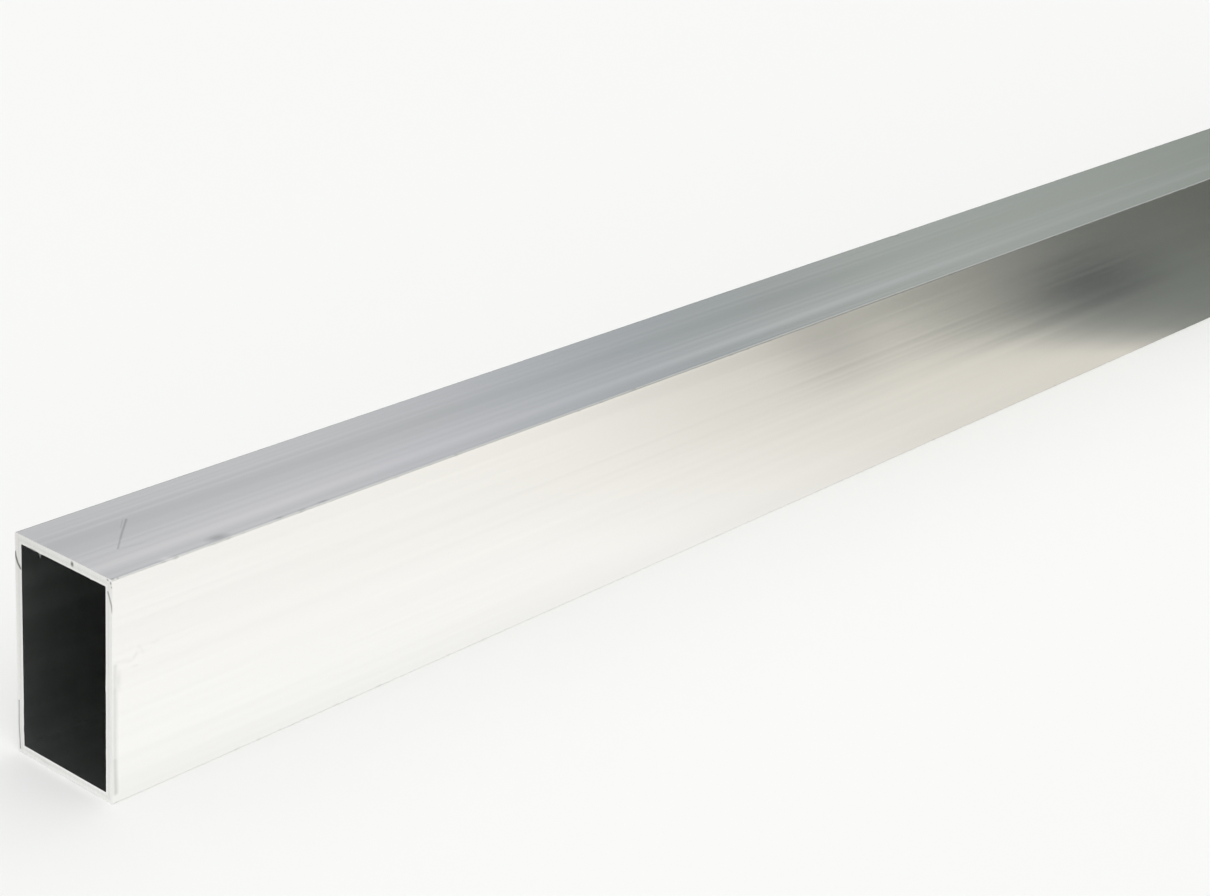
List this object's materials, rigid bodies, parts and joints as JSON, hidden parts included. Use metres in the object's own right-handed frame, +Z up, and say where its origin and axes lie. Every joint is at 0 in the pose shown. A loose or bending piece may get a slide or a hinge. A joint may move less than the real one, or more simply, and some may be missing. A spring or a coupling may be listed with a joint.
{
  "type": "rectangular aluminium tube",
  "caption": "Straight length of hollow rectangular extruded aluminium tube with thin even walls, crisp corners and square sawn open ends, raw stock for frames, rails and supports.",
  "frame": {"origin": "middle of the narrow face that the tube lies on", "axes": "+X along the length, +Y across the 30 mm width, +Z up along the 50 mm height"},
  "size_m": [1, 0.03, 0.05],
  "materials": {
    "mill_aluminium": "bare mill finish with fine die lines along the length; saw-cut ends"
  },
  "bodies": {
    "root": {"tube": "mill_aluminium"}
  },
  "joints": []
}
